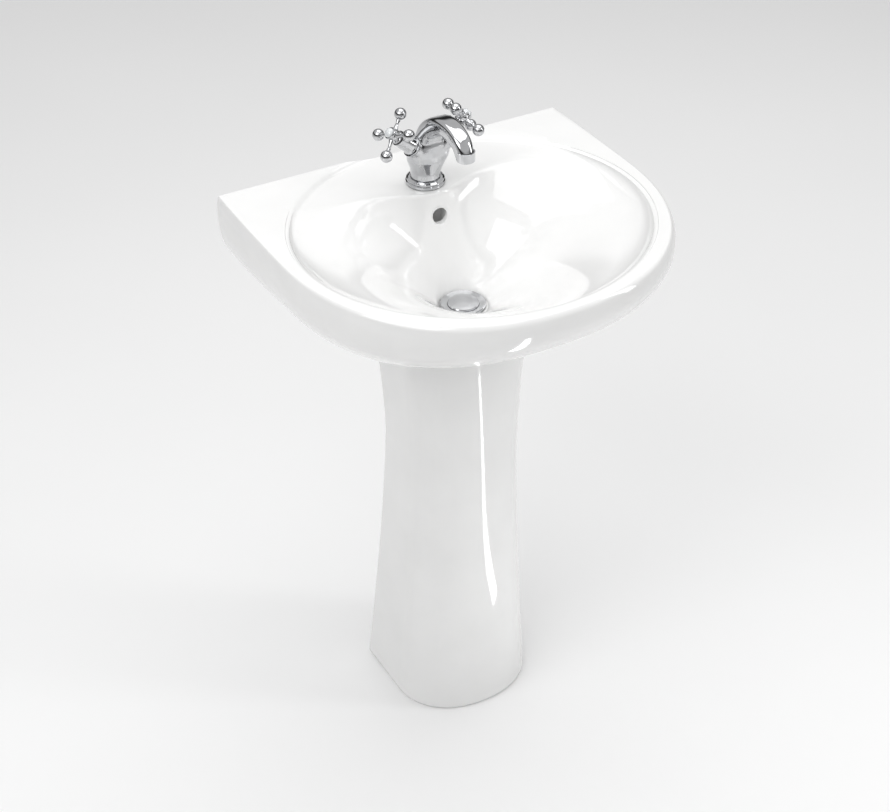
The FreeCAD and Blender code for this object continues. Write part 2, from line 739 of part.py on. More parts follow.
def make_arm_of_valve(side):
    """The valve on one side of the mixer: cartridge, shroud, spindle, handle, screw and cap."""
    word = SIDE_NAMES[side]
    cartridge = turned(word + "_cartridge", [
        (("spindle_r", 0.05), ("arm_end", -10)),
        (("cartridge_r",), ("arm_end", -10)),
        (("cartridge_r",), ("arm_end", 0)),
        (("cartridge_r", 0.9), ("arm_end", 0)),
        (("cartridge_r", 0.9), ("arm_end", 4)),
        (("cartridge_r", -1.9), ("arm_end", 4)),
        (("cartridge_r", -1.9), ("arm_end", 19)),
        (("cartridge_r", -3.6), ("arm_end", 22)),
        (("spindle_r", 0.05), ("arm_end", 22)),
    ])
    cage = turned(word + "_ceramic_discs", [
        (0, ("arm_end", -14.5)),
        (("cartridge_r", -0.2), ("arm_end", -14.5)),
        (("cartridge_r", -0.2), ("arm_end", -10)),
        (0, ("arm_end", -10)),
    ])
    shroud = turned(word + "_shroud", [
        (("cartridge_r", 1.1), ("arm_end", 0)),
        (("shroud_r", 0), ("arm_end", 0)),
        (("shroud_r", 0), ("arm_end", 2)),
        (("shroud_r", -0.8), ("arm_end", 3)),
        (("shroud_r", -2.2), ("handle_at", -11)),
        (("shroud_r", -2.6), ("handle_at", -9)),
        (("shroud_r", -4.0), ("handle_at", -9)),
        (("shroud_r", -4.0), ("arm_end", 6)),
        (("cartridge_r", 1.1), ("arm_end", 5)),
    ])
    spindle = turned(word + "_spindle", [
        (0, ("arm_end", -9.7)),
        (("spindle_r",), ("arm_end", -9.7)),
        (("spindle_r",), ("handle_at", -1.2)),
        (2.2, ("handle_at", -1.2)),
        (2.2, ("handle_at", -14)),
        (0, ("handle_at", -14)),
    ])
    screw = turned(word + "_handle_screw", [
        (0, ("handle_at", -11)),
        (2.1, ("handle_at", -11)),
        (2.1, ("handle_at", 2.5)),
        (4.4, ("handle_at", 2.5)),
        (4.4, ("handle_at", 5.0)),
        (1.6, ("handle_at", 5.6)),
        (1.6, ("handle_at", 4.2)),
        (0, ("handle_at", 4.2)),
    ])
    cap = turned(word + "_index_cap", [
        (0, ("handle_at", 7)),
        (("cap_r", -1.7), ("handle_at", 7)),
        (("cap_r", -1.7), ("handle_at", 8)),
        (("cap_r",), ("handle_at", 8)),
        (("cap_r",), ("handle_at", 9.2)),
        (("cap_r", -0.8), ("handle_at", 10.8)),
        (("cap_r", -2.8), ("handle_at", 12.0)),
        (0, ("handle_at", 12.6)),
    ])
    handle = make_handle(word + "_handle")
    for fixed in (cartridge, cage, shroud):
        on_valve(fixed, side)
    for moving in (spindle, screw, cap, handle):
        on_valve(moving, side, HANDLE_SPIN[side])
    return [cartridge, cage, shroud, spindle, screw, cap, handle]


valve_pieces = make_arm_of_valve(-1) + make_arm_of_valve(1)

# ---------------------------------------------------------------- outlet of the spout
aerator_housing = place(turned("aerator_housing", [
    (("aerator_r", -2.8), ("spout_tip_z", "-aerator_drop")),
    (("aerator_r", -0.3), ("spout_tip_z", "-aerator_drop")),
    (("aerator_r", 0), ("spout_tip_z", "-aerator_drop", 0.5)),
    (("aerator_r", 0), ("spout_tip_z", 0)),
    (("aerator_r", -1.4), ("spout_tip_z", 0)),
    (("aerator_r", -1.4), ("spout_tip_z", -11)),
    (("aerator_r", -2.8), ("spout_tip_z", -11)),
]), 0.0, "spout_y")
aerator_seal = place(turned("aerator_seal", [
    (("aerator_r", -3.7), ("spout_tip_z", -1.5)),
    (("aerator_r", -1.5), ("spout_tip_z", -1.5)),
    (("aerator_r", -1.5), ("spout_tip_z", 0)),
    (("aerator_r", -3.7), ("spout_tip_z", 0)),
]), 0.0, "spout_y")


def make_aerator_insert():
    """The aerator's plastic insert, with a ring of small outlets round a middle one."""
    blank = add_primitive("Cylinder", "aerator_insert_blank", Radius=("aerator_r", -1.5), Height=9.5)
    place(blank, 0.0, "spout_y", ("spout_tip_z", -11))
    holes = []
    for index in range(7):
        angle = TURN * index / 6
        reach = 0.0 if index == 6 else 6.0
        hole = add_primitive("Cylinder", "aerator_hole_%d" % index, Radius=1.6, Height=14.0)
        spot_y = ("spout_y", round(reach * math.sin(angle), 3))
        place(hole, round(reach * math.cos(angle), 3), spot_y, ("spout_tip_z", -13))
        holes.append(hole)
    return cut("aerator_insert", blank, *holes)


aerator_insert = make_aerator_insert()

# ---------------------------------------------------------------- waste
SEAT_Z = ("rim_z", "-bowl_floor")
waste_seal = at_drain(turned("waste_seal", [
    (("drain_r", 0.2), SEAT_Z),
    (("flange_r", -0.8), SEAT_Z),
    (("flange_r", -0.8), SEAT_Z + (1.5,)),
    (("drain_r", 0.2), SEAT_Z + (1.5,)),
]))
BAR_Z = 650.0
waste_tube = at_drain(turned("waste_tube", [
    (("tail_r", -3.4), "tail_end_z"),
    (("tail_r",), "tail_end_z"),
    (("tail_r",), SEAT_Z + (1.5,)),
    (("flange_r", -0.4), SEAT_Z + (1.5,)),
    (("flange_r",), SEAT_Z + (2.2,)),
    (("flange_r", -0.3), SEAT_Z + (4.0,)),
    (("flange_r", -1.6), SEAT_Z + (4.8,)),
    (("flange_r", -5.0), SEAT_Z + (4.0,)),
    (("flange_r", -9.0), SEAT_Z + (3.2,)),
    (("tail_r", -1.4), SEAT_Z + (1.9,)),
    (("tail_r", -3.4), SEAT_Z + (-0.5,)),
]))
slot_box = add_primitive("Box", "waste_slot_box", Length=9.0, Width=60.0, Height=10.0)
place(slot_box, -4.5, ("drain_y", -30), ("boss_z", 4))
slotted_tube = cut("waste_slotted_tube", waste_tube, slot_box)
bar = add_primitive("Box", "waste_bar", Length=36.6, Width=8.0, Height=6.0)
place(bar, -18.3, ("drain_y", -4), BAR_Z)
bar_hole = add_primitive("Cylinder", "waste_bar_hole", Radius=3.55, Height=20.0)
place(bar_hole, 0.0, "drain_y", BAR_Z - 5)
holed_bar = cut("waste_holed_bar", bar, bar_hole)
waste_body = doc.addObject("Part::Fuse", "waste_body")
waste_body.Base = slotted_tube
waste_body.Tool = holed_bar
plug_cartridge = at_drain(turned("plug_cartridge", [
    (0, BAR_Z - 3),
    (3.5, BAR_Z - 3),
    (3.5, BAR_Z + 6),
    (6.0, BAR_Z + 6),
    (6.0, BAR_Z + 24),
    (5.0, BAR_Z + 25),
    (3.05, BAR_Z + 25),
    (3.05, BAR_Z + 9),
    (0, BAR_Z + 9),
]))
plug_plunger = at_drain(turned("plug_plunger", [
    (0, BAR_Z + 10),
    (3.0, BAR_Z + 10),
    (3.0, BAR_Z + 34),
    (0, BAR_Z + 34),
]))
plug_cap = at_drain(turned("plug_cap", [
    (3.02, BAR_Z + 29),
    (6.0, BAR_Z + 29),
    (6.0, SEAT_Z + (2.6,)),
    (("plug_r", -0.8), SEAT_Z + (2.6,)),
    (("plug_r",), SEAT_Z + (3.2,)),
    (("plug_r",), SEAT_Z + (4.0,)),
    (("plug_r", -1.2), SEAT_Z + (5.0,)),
    (("plug_r", -8), SEAT_Z + (5.7,)),
    (0, SEAT_Z + (6.0,)),
    (0, BAR_Z + 34),
    (3.02, BAR_Z + 34),
]))
plug_seal = at_drain(turned("plug_seal", [
    (6.3, SEAT_Z + (1.4,)),
    (("plug_r", -2.6), SEAT_Z + (1.4,)),
    (("plug_r", -2.6), SEAT_Z + (2.6,)),
    (6.3, SEAT_Z + (2.6,)),
]))
lower_seal = at_drain(turned("lower_seal", [
    (("tail_r", 0.2), ("boss_z", -7)),
    (("tail_r", 6.0), ("boss_z", -7)),
    (("tail_r", 10.5), ("boss_z", -2)),
    (("tail_r", 10.5), "boss_z"),
    (("tail_r", 0.2), "boss_z"),
]))
waste_washer = at_drain(turned("waste_washer", [
    (("tail_r", 0.2), ("boss_z", -9)),
    (("tail_r", 9.0), ("boss_z", -9)),
    (("tail_r", 9.0), ("boss_z", -7)),
    (("tail_r", 0.2), ("boss_z", -7)),
]))
waste_nut = hex_nut("waste_nut", 52.0, 8.0, ("tail_r", 0.1), 0.0, "drain_y", ("boss_z", -17))

# ---------------------------------------------------------------- bottle trap
INLET_Z = ("tail_end_z",)
inlet_nut = at_drain(turned("inlet_nut", [
    (("trap_tube_r", 0.3), INLET_Z + (-10,)),
    (("tail_r", 3.6), INLET_Z + (-10,)),
    (("tail_r", 5.6), INLET_Z + (-8,)),
    (("tail_r", 5.6), INLET_Z + (10,)),
    (("tail_r", 4.6), INLET_Z + (12,)),
    (("tail_r", 0.1), INLET_Z + (12,)),
    (("tail_r", 0.1), INLET_Z + (-3.6,)),
    (("trap_tube_r", 0.3), INLET_Z + (-3.6,)),
]))
inlet_seal = at_drain(turned("inlet_seal", [
    (("trap_tube_r", -1.5), INLET_Z + (-2,)),
    (("tail_r",), INLET_Z + (-2,)),
    (("tail_r",), INLET_Z + (0,)),
    (("trap_tube_r", -1.5), INLET_Z + (0,)),
]))
inlet_tube = at_drain(turned("inlet_tube", [
    (("trap_tube_r", -1.5), ("trap_floor_z", 30)),
    (("trap_tube_r",), ("trap_floor_z", 30)),
    (("trap_tube_r",), INLET_Z + (-3.6,)),
    (("tail_r", -0.3), INLET_Z + (-3.6,)),
    (("tail_r", -0.3), INLET_Z + (-2,)),
    (("trap_tube_r", -1.5), INLET_Z + (-2,)),
]))
BOTTLE_TOP = ("trap_outlet_z", 28)
COLLAR_Z = ("trap_outlet_z", -36)
trap_shell = at_drain(turned("trap_shell", [
    (("trap_tube_r", 0.4), BOTTLE_TOP + (-5,)),
    (("trap_body_r", -3), BOTTLE_TOP + (-5,)),
    (("trap_body_r", -3), COLLAR_Z),
    (("trap_body_r",), COLLAR_Z),
    (("trap_body_r",), BOTTLE_TOP + (-4,)),
    (("trap_body_r", -4), BOTTLE_TOP),
    (("trap_tube_r", 4), BOTTLE_TOP),
    (("trap_tube_r", 4), BOTTLE_TOP + (16,)),
    (("trap_tube_r", 0.4), BOTTLE_TOP + (16,)),
]))
TO_WALL = Rotation(Vector(1, 0, 0), -90)
port = add_primitive("Cylinder", "trap_port", Radius=("trap_tube_r", 4), Height=24.0)
place(port, 0.0, ("drain_y", 28), "trap_outlet_z", TO_WALL)
port_bore = add_primitive("Cylinder", "trap_port_bore", Radius=("trap_tube_r", 0.3), Height=34.0)
place(port_bore, 0.0, ("drain_y", 20), "trap_outlet_z", TO_WALL)
ported_shell = doc.addObject("Part::Fuse", "trap_ported_shell")
ported_shell.Base = trap_shell
ported_shell.Tool = port
trap_body = cut("trap_body", ported_shell, port_bore)
neck_seal = at_drain(turned("neck_seal", [
    (("trap_tube_r", 0.05), BOTTLE_TOP + (16,)),
    (("trap_tube_r", 4), BOTTLE_TOP + (16,)),
    (("trap_tube_r", 4), BOTTLE_TOP + (18,)),
    (("trap_tube_r", 0.05), BOTTLE_TOP + (18,)),
]))
neck_nut = at_drain(turned("neck_nut", [
    (("trap_tube_r", 4.1), BOTTLE_TOP + (2,)),
    (("trap_tube_r", 8.5), BOTTLE_TOP + (2,)),
    (("trap_tube_r", 8.5), BOTTLE_TOP + (20,)),
    (("trap_tube_r", 7), BOTTLE_TOP + (22,)),
    (("trap_tube_r", 0.3), BOTTLE_TOP + (22,)),
    (("trap_tube_r", 0.3), BOTTLE_TOP + (18,)),
    (("trap_tube_r", 4.1), BOTTLE_TOP + (18,)),
]))
trap_cup = at_drain(turned("trap_cup", [
    (0, "trap_floor_z"),
    (("trap_cup_r", -9), "trap_floor_z"),
    (("trap_cup_r", -2), ("trap_floor_z", 4)),
    (("trap_cup_r",), ("trap_floor_z", 12)),
    (("trap_cup_r",), COLLAR_Z + (-8,)),
    (("trap_body_r", 3.2), COLLAR_Z + (-5,)),
    (("trap_body_r", 3.2), COLLAR_Z + (14,)),
    (("trap_body_r", 0.1), COLLAR_Z + (14,)),
    (("trap_body_r", 0.1), COLLAR_Z + (-2,)),
    (("trap_cup_r", -3), COLLAR_Z + (-2,)),
    (("trap_cup_r", -3), ("trap_floor_z", 12)),
    (("trap_cup_r", -9), ("trap_floor_z", 4)),
    (0, ("trap_floor_z", 3)),
]))
cup_seal = at_drain(turned("cup_seal", [
    (("trap_body_r", -3), COLLAR_Z + (-2,)),
    (("trap_body_r",), COLLAR_Z + (-2,)),
    (("trap_body_r",), COLLAR_Z),
    (("trap_body_r", -3), COLLAR_Z),
]))
outlet_seal = at_drain(turned("outlet_seal", [
    (("trap_tube_r", -0.25), 52.0),
    (("trap_tube_r", 4), 52.0),
    (("trap_tube_r", 4), 54.0),
    (("trap_tube_r", -0.25), 54.0),
]), TO_WALL, "trap_outlet_z")
outlet_nut = at_drain(turned("outlet_nut", [
    (("trap_tube_r", 4.1), 38.0),
    (("trap_tube_r", 8.5), 38.0),
    (("trap_tube_r", 8.5), 56.0),
    (("trap_tube_r", 7), 58.0),
    (("trap_tube_r", 0.3), 58.0),
    (("trap_tube_r", 0.3), 54.0),
    (("trap_tube_r", 4.1), 54.0),
]), TO_WALL, "trap_outlet_z")
outlet_pipe = at_drain(turned("outlet_pipe", [
    (("trap_tube_r", -1.5), 32.0),
    (("trap_tube_r", -0.3), 32.0),
    (("trap_tube_r", -0.3), 60.0),
    (("trap_tube_r",), 60.0),
    (("trap_tube_r",), "wall_to_drain"),
    (("trap_tube_r", -1.5), "wall_to_drain"),
]), TO_WALL, "trap_outlet_z")

# ---------------------------------------------------------------- check and write the pieces
doc.recompute()
pieces = [
    basin, pedestal, tap_gasket, tap_base_ring, tap_body, tap_stud, horseshoe_washer, horseshoe_plate,
    stud_nut, aerator_housing, aerator_seal, aerator_insert, waste_seal, waste_body, plug_cartridge,
    plug_plunger, plug_cap, plug_seal, lower_seal, waste_washer, waste_nut, inlet_nut, inlet_seal,
    inlet_tube, trap_body, neck_seal, neck_nut, trap_cup, cup_seal, outlet_seal, outlet_nut, outlet_pipe,
] + valve_pieces

for thing in doc.Objects:
    if "Invalid" in thing.State or "Error" in thing.State:
        raise RuntimeError("%s failed: %s" % (thing.Label, thing.State))
for piece in pieces:
    check(piece)
os.makedirs("parts", exist_ok=True)
for piece in pieces:
    piece.Shape.exportStep("parts/%s.step" % piece.Label)
    print("%-18s %10.1f mm3" % (piece.Label, piece.Shape.Volume))
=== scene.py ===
import json
import math

import bmesh
import bpy
import numpy as np
from mathutils import Matrix, Vector


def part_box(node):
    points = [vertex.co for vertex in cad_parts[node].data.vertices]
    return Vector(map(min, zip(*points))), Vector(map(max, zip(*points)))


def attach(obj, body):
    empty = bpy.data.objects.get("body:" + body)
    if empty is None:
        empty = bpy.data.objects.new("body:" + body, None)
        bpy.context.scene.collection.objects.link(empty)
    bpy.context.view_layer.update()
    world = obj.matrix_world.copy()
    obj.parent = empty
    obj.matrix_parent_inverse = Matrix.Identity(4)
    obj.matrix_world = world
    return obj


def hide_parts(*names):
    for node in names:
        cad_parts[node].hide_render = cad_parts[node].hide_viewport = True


# A wash basin on a pedestal with a two-handle mixer. The china, the mixer's body and its
# handles are built here as smooth meshes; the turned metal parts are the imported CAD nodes.
# Shapes are worked out in millimetres and stored in metres, in the CAD frame.
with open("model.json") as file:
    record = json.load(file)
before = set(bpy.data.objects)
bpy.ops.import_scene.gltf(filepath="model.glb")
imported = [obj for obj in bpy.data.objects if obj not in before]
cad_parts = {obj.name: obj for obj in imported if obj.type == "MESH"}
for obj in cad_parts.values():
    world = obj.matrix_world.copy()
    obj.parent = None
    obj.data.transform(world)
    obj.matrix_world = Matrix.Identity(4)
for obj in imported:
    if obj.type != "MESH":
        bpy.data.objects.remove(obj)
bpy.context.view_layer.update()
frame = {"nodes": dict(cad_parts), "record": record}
NODES = frame["nodes"]
MM = 0.001
TURN = 2 * math.pi
SMALLEST_R = 0.05


def box_mm(node):
    low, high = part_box(node)
    return np.array(low) / MM, np.array(high) / MM


BASIN_LOW, BASIN_HIGH = box_mm("basin")
RING_LOW, RING_HIGH = box_mm("tap_base_ring")
WASTE_LOW, WASTE_HIGH = box_mm("waste_body")
WALL = BASIN_HIGH[1]
RIM = BASIN_HIGH[2]
HALF_WIDTH = BASIN_HIGH[0]
FRONT = BASIN_LOW[1]
BOSS_Z = BASIN_LOW[2]
DRAIN_Y = (WASTE_LOW[1] + WASTE_HIGH[1]) / 2
TAP_Y = (RING_LOW[1] + RING_HIGH[1]) / 2
DECK_DROP = 6.0
DECK = RIM - DECK_DROP


# ---------------------------------------------------------------- mesh helpers
def new_object(name, vertices, faces):
    mesh = bpy.data.meshes.new(name)
    mesh.from_pydata([tuple(v) for v in np.asarray(vertices) * MM], [], faces)
    mesh.validate()
    made = bpy.data.objects.new(name, mesh)
    bpy.context.scene.collection.objects.link(made)
    return made


def ring_faces(rings, around, wrap=False):
    """Quads between successive closed rings of points."""
    faces = []
    for ring in range(rings if wrap else rings - 1):
        here, there = ring * around, ((ring + 1) % rings) * around
        for step in range(around):
            after = (step + 1) % around
            faces.append((here + step, here + after, there + after, there + step))
    return faces


def loft_object(name, rings, wrap=False):
    """A closed mesh through rings of points, with its ends filled unless it wraps round."""
    count, around = len(rings), len(rings[0])
    faces = ring_faces(count, around, wrap)
    if not wrap:
        faces.append(tuple(range(around))[::-1])
        faces.append(tuple(range((count - 1) * around, count * around)))
    made = new_object(name, np.concatenate(rings), faces)
    face_outwards(made)
    return made


def face_outwards(made):
    work = bmesh.new()
    work.from_mesh(made.data)
    bmesh.ops.recalc_face_normals(work, faces=work.faces)
    work.to_mesh(made.data)
    work.free()


def lathe(name, profile, around=64):
    """A solid of revolution about Z. The profile runs from bottom to top as (radius, z)."""
    angles = np.arange(around) * TURN / around
    rings = []
    for radius, z in profile:
        radius = max(radius, SMALLEST_R)
        ring = [radius * np.cos(angles), radius * np.sin(angles), np.full(around, z)]
        rings.append(np.stack(ring, 1))
    return loft_object(name, rings)


def apply_modifiers(made):
    graph = bpy.context.evaluated_depsgraph_get()
    mesh = bpy.data.meshes.new_from_object(made.evaluated_get(graph))
    made.modifiers.clear()
    made.data = mesh


def combine(target, tools, operation):
    """Adds or takes away closed meshes, and removes the tools."""
    for tool in tools:
        change = target.modifiers.new("combine", "BOOLEAN")
        change.operation = operation
        change.solver = "MANIFOLD"
        change.object = tool
        bpy.context.view_layer.update()
        apply_modifiers(target)
        bpy.data.objects.remove(tool)
    return target


def shade(made, sharp_degrees):
    """Smooth shading, with edges sharper than the angle kept crisp."""
    for polygon in made.data.polygons:
        polygon.use_smooth = True
    made.data.set_sharp_from_angle(angle=math.radians(sharp_degrees))


def block(name, low, high):
    """A box between two opposite corners."""
    corners = [(low[0], low[1]), (high[0], low[1]), (high[0], high[1]), (low[0], high[1])]
    rings = [np.array([(x, y, z) for x, y in corners], float) for z in (low[2], high[2])]
    return loft_object(name, rings)


def rod(name, start, end, radius):
    """A cylinder between two points."""
    start, end = Vector(start), Vector(end)
    made = lathe(name, [(radius, 0.0), (radius, (end - start).length)], 48)
    turn = (end - start).to_track_quat("Z", "Y").to_matrix().to_4x4()
    made.data.transform(Matrix.Translation(start * MM) @ turn)
    return made


def superellipse_radius(turn, half_x, half_y, power):
    """Distance from the middle of a superellipse to its edge, at each turn."""
    part_x = np.abs(np.cos(turn) / half_x) ** power
    part_y = np.abs(np.sin(turn) / half_y) ** power
    return (part_x + part_y) ** (-1 / power)


def smooth_max(a, b, blend):
    """The larger of the two, rounded where they are within the blend of each other."""
    near = np.maximum(blend - np.abs(a - b), 0.0) / blend
    return np.maximum(a, b) + near * near * blend / 4


def smooth_min(a, b, blend):
    return -smooth_max(-a, -b, blend)


# ---------------------------------------------------------------- basin, by formula
# The bowl's rim is an ellipse: half sizes, and how far its middle stands before the drain.
BOWL_HALF_X = 242.0
BOWL_HALF_Y = 226.0
BOWL_SHIFT = 22.0
BOWL_LEAN = 32.0
BOWL_FLOOR = 145.0
SHELF = 24.0
WALL_SHARE = 0.78
CHAMFER_SHARE = 1.024
# The round seat and hole of the waste.
SEAT_R = 33.0
SEAT_SHARE = SEAT_R / BOWL_HALF_X
DRAIN_R = 22.5
BOSS_R = 43.0
# The outside: widest line of the plan, rolled edge, belly's full depth and where it is cut flat.
SHOULDER_Y = WALL - 190.0
ROLL = 20.0
BELLY = 140.0
BELLY_CUT = 136.0
AROUND = 600
# The tap deck's wavy front edge and the valley where the steep back meets the dish.
DECK_EDGE_Y = WALL - 106.5
DECK_EDGE_DEPTH = 11.0
VALLEY_REACH = 38.0
# Holes, and the china left over the pocket that holds the mixer's fixing.
OVERFLOW_Z = RIM - 38.0
OVERFLOW_R = 11.0
TAP_HOLE_R = 17.5
BOLT_X, BOLT_Z, BOLT_HOLE_R = 140.0, RIM - 62.0, 7.0
POCKET_HALF_X = 72.0
POCKET_WALL = 14.0


def outline(angle):
    """The basin's outline in plan, full size, at angles about the shoulder's middle."""
    reach = np.where(np.sin(angle) <= 0, SHOULDER_Y - FRONT, 600.0)
    power = np.where(np.sin(angle) <= 0, 2.25, 3.0)
    radius = superellipse_radius(angle, HALF_WIDTH, reach, power)
    return np.stack([radius * np.cos(angle), SHOULDER_Y + radius * np.sin(angle)], -1)


def belly_power(angle):
    """How full the belly's section is: lean at the front, full at the wall."""
    front, back = np.maximum(-np.sin(angle), 0), np.maximum(np.sin(angle), 0)
    return 2.3 - 0.65 * front ** 1.3 + 0.9 * back


def bowl_lean(share, sine):
    """How far forward the dish's outline is drawn, most at the front, to steepen its wall."""
    inside = np.clip((share - SEAT_SHARE) / (1 - SEAT_SHARE), 0, 1)
    return BOWL_LEAN * 2 * inside * (1 - inside) * (1 - np.clip(sine, -1, 1))


def bowl_share(x, y):
    """The share of the rim's inner edge that passes through x, y, found by repeated steps."""
    lead = 1 - (BOWL_SHIFT / BOWL_HALF_Y) ** 2
    share, lean = np.full_like(x + y, 0.5), 0.0
    for step in range(30):
        back = y - DRAIN_Y + lean
        cross = back * BOWL_SHIFT / BOWL_HALF_Y ** 2
        square = (x / BOWL_HALF_X) ** 2 + (back / BOWL_HALF_Y) ** 2
        share = (cross + np.sqrt(cross ** 2 + lead * square)) / lead
        sine = (back + BOWL_SHIFT * share) / (BOWL_HALF_Y * np.maximum(share, 0.01))
        lean = bowl_lean(share, sine)
    return share


def dish_depth(share):
    """Depth of the dish: a funnel from the seat to the shelf, then a round wall to the rim."""
    along = np.clip((share - SEAT_SHARE) / (1 - SEAT_SHARE), 0, 1)
    slope = SHELF + (BOWL_FLOOR - SHELF) * (1 - along) ** 2.2
    wall_along = np.clip((share - WALL_SHARE) / (1 - WALL_SHARE), 0, 1)
    return slope * np.sqrt(1 - wall_along ** 2)


def panel_depth(x, y):
    """The steep back of the bowl, from the valley up to the tap deck's wavy edge."""
    wave = DECK_EDGE_Y - 49 * (np.abs(x) / 232) ** 5.5 - 23 * np.exp(-((x / 50) ** 2))
    valley = DRAIN_Y + VALLEY_REACH * np.exp(-((x / 52) ** 2))
    low = np.maximum(dish_depth(bowl_share(x, valley)), DECK_EDGE_DEPTH + 4.0)
    slope = (wave - valley) / (low - DECK_EDGE_DEPTH)
    return low - (y - valley) / slope


def bowl_depth(x, y, share):
    """Depth of the whole inside: dish, steep back, drain seat, tap deck and chamfered edge."""
    inside = smooth_min(dish_depth(share), panel_depth(x, y), 9.0)
    outward = np.maximum(np.hypot(x, y - DRAIN_Y) - SEAT_R, 0)
    inside = smooth_max(inside, BOWL_FLOOR - 2.5 * outward - 0.1 * outward ** 2, 3.0)
    beyond = (share - 1) * 0.5 * (BOWL_HALF_X + BOWL_HALF_Y)
    deck = np.clip(DECK_DROP - 0.7 * (beyond + 5), -2, DECK_DROP)
    deck = smooth_max(smooth_min(deck, np.full_like(deck, DECK_DROP), 2.5), 0 * deck, 2.5)
    return smooth_max(inside, deck, 4.0)


def ellipse_ring(share, angle):
    """The plan of the dish's outline at one share of the rim's size."""
    x = BOWL_HALF_X * share * np.cos(angle)
    middle = DRAIN_Y - BOWL_SHIFT * share - bowl_lean(share, np.sin(angle))
    y = middle + BOWL_HALF_Y * share * np.sin(angle)
    return x, y


def basin_rings():
    """Closed rings from the drain hole over bowl, rim, roll and belly, and back up the drain."""
    angle = np.arange(AROUND) * TURN / AROUND
    rings = []
    seat_x, seat_y = ellipse_ring(SEAT_SHARE, angle)
    hole = np.stack([DRAIN_R * np.cos(angle), DRAIN_Y + DRAIN_R * np.sin(angle)], 1)
    for share in np.linspace(0, 1, 5)[:-1]:
        x = hole[:, 0] * (1 - share) + seat_x * share
        y = hole[:, 1] * (1 - share) + seat_y * share
        rings.append(np.stack([x, y, np.full(AROUND, RIM - BOWL_FLOOR)], 1))
    shares = list(np.linspace(SEAT_SHARE, WALL_SHARE, 110)[:-1])
    shares += list(WALL_SHARE + (1 - WALL_SHARE) * np.sin(np.linspace(0, math.pi / 2, 44)))
    shares += list(np.linspace(1.0, CHAMFER_SHARE, 9)[1:])
    for share in shares:
        x, y = ellipse_ring(share, angle)
        depth = bowl_depth(x, y, np.full(AROUND, share))
        rings.append(np.stack([x, y, RIM - depth], 1))
    rings[-1][:, 2] = RIM
    edge = rings[-1]
    full = outline(angle)
    centre = np.array([0.0, DRAIN_Y])
    length = np.linalg.norm(full - centre, axis=1)
    lip = 5 + 6 * np.maximum(-np.sin(angle), 0)
    inner = centre + (full - centre) * ((length - lip) / length)[:, None]
    for share in np.linspace(0, 1, 9)[1:]:
        flat = edge[:, :2] * (1 - share) + inner * share
        rings.append(np.column_stack([flat, np.full(AROUND, RIM)]))
    for turn in np.linspace(0, math.pi / 2, 14)[1:]:
        inset = lip * (1 - math.sin(turn))
        flat = centre + (full - centre) * ((length - inset) / length)[:, None]
        level = ROLL * (1 - math.cos(turn))
        rings.append(np.column_stack([flat, np.full(AROUND, RIM - level)]))
    power = belly_power(angle)
    for turn in np.linspace(0, 1, 60)[1:]:
        depth = BELLY_CUT * math.sin(turn * math.pi / 2)
        scale = (1 - (depth / BELLY) ** power) ** (1 / power)
        flat = centre + (full - centre) * scale[:, None]
        rings.append(np.column_stack([flat, np.full(AROUND, RIM - ROLL - depth)]))
    boss = (
        (BOSS_R, RIM - ROLL - BELLY_CUT), (BOSS_R, BOSS_Z + 2), (BOSS_R - 2, BOSS_Z),
        (DRAIN_R + 1.5, BOSS_Z), (DRAIN_R, BOSS_Z + 1.5),
    )
    for radius, z in boss:
        flat = centre + np.stack([np.cos(angle), np.sin(angle)], 1) * radius
        rings.append(np.column_stack([flat, np.full(AROUND, z)]))
    return rings


def cut_at_wall(made):
    """Cuts the basin off flat where it meets the wall."""
    work = bmesh.new()
    work.from_mesh(made.data)
    everything = work.verts[:] + work.edges[:] + work.faces[:]
    bmesh.ops.bisect_plane(
        work, geom=everything, plane_co=(0, WALL * MM, 0), plane_no=(0, 1, 0), clear_outer=True
    )
    open_edges = [edge for edge in work.edges if edge.is_boundary]
    bmesh.ops.holes_fill(work, edges=open_edges, sides=0)
    flat = [face for face in work.faces if len(face.verts) > 8]
    bmesh.ops.triangulate(work, faces=flat)
    work.to_mesh(made.data)
    work.free()


def pocket_under_deck():
    """The open hollow behind the drain, where the mixer's fixing and hoses are reached."""
    xs = np.linspace(-POCKET_HALF_X, POCKET_HALF_X, 49)
    ys = np.linspace(TAP_Y - 11, WALL - 24, 28)
    grid_x, grid_y = np.meshgrid(xs, ys)
    depth = bowl_depth(grid_x, grid_y, bowl_share(grid_x, grid_y))
    top = np.minimum(RIM - depth - POCKET_WALL, RIM - 19)
    count_y, count_x = grid_x.shape
    upper = np.stack([grid_x, grid_y, top], -1).reshape(-1, 3)
    lower = np.stack([grid_x, grid_y, np.full_like(top, BOSS_Z - 20)], -1).reshape(-1, 3)
    total = count_x * count_y
    faces = []
    for row in range(count_y - 1):
        for column in range(count_x - 1):
            corner = row * count_x + column
            quad = (corner, corner + 1, corner + count_x + 1, corner + count_x)
            faces.append(quad)
            faces.append(tuple(total + index for index in reversed(quad)))
    rim = list(range(count_x))
    rim += [row * count_x + count_x - 1 for row in range(1, count_y)]
    rim += [total - 1 - column for column in range(1, count_x)]
    rim += [row * count_x for row in range(count_y - 2, 0, -1)]
    for here, there in zip(rim, rim[1:] + rim[:1]):
        faces.append((there, here, total + here, total + there))
    made = new_object("pocket", np.concatenate([upper, lower]), faces)
    face_outwards(made)
    return made


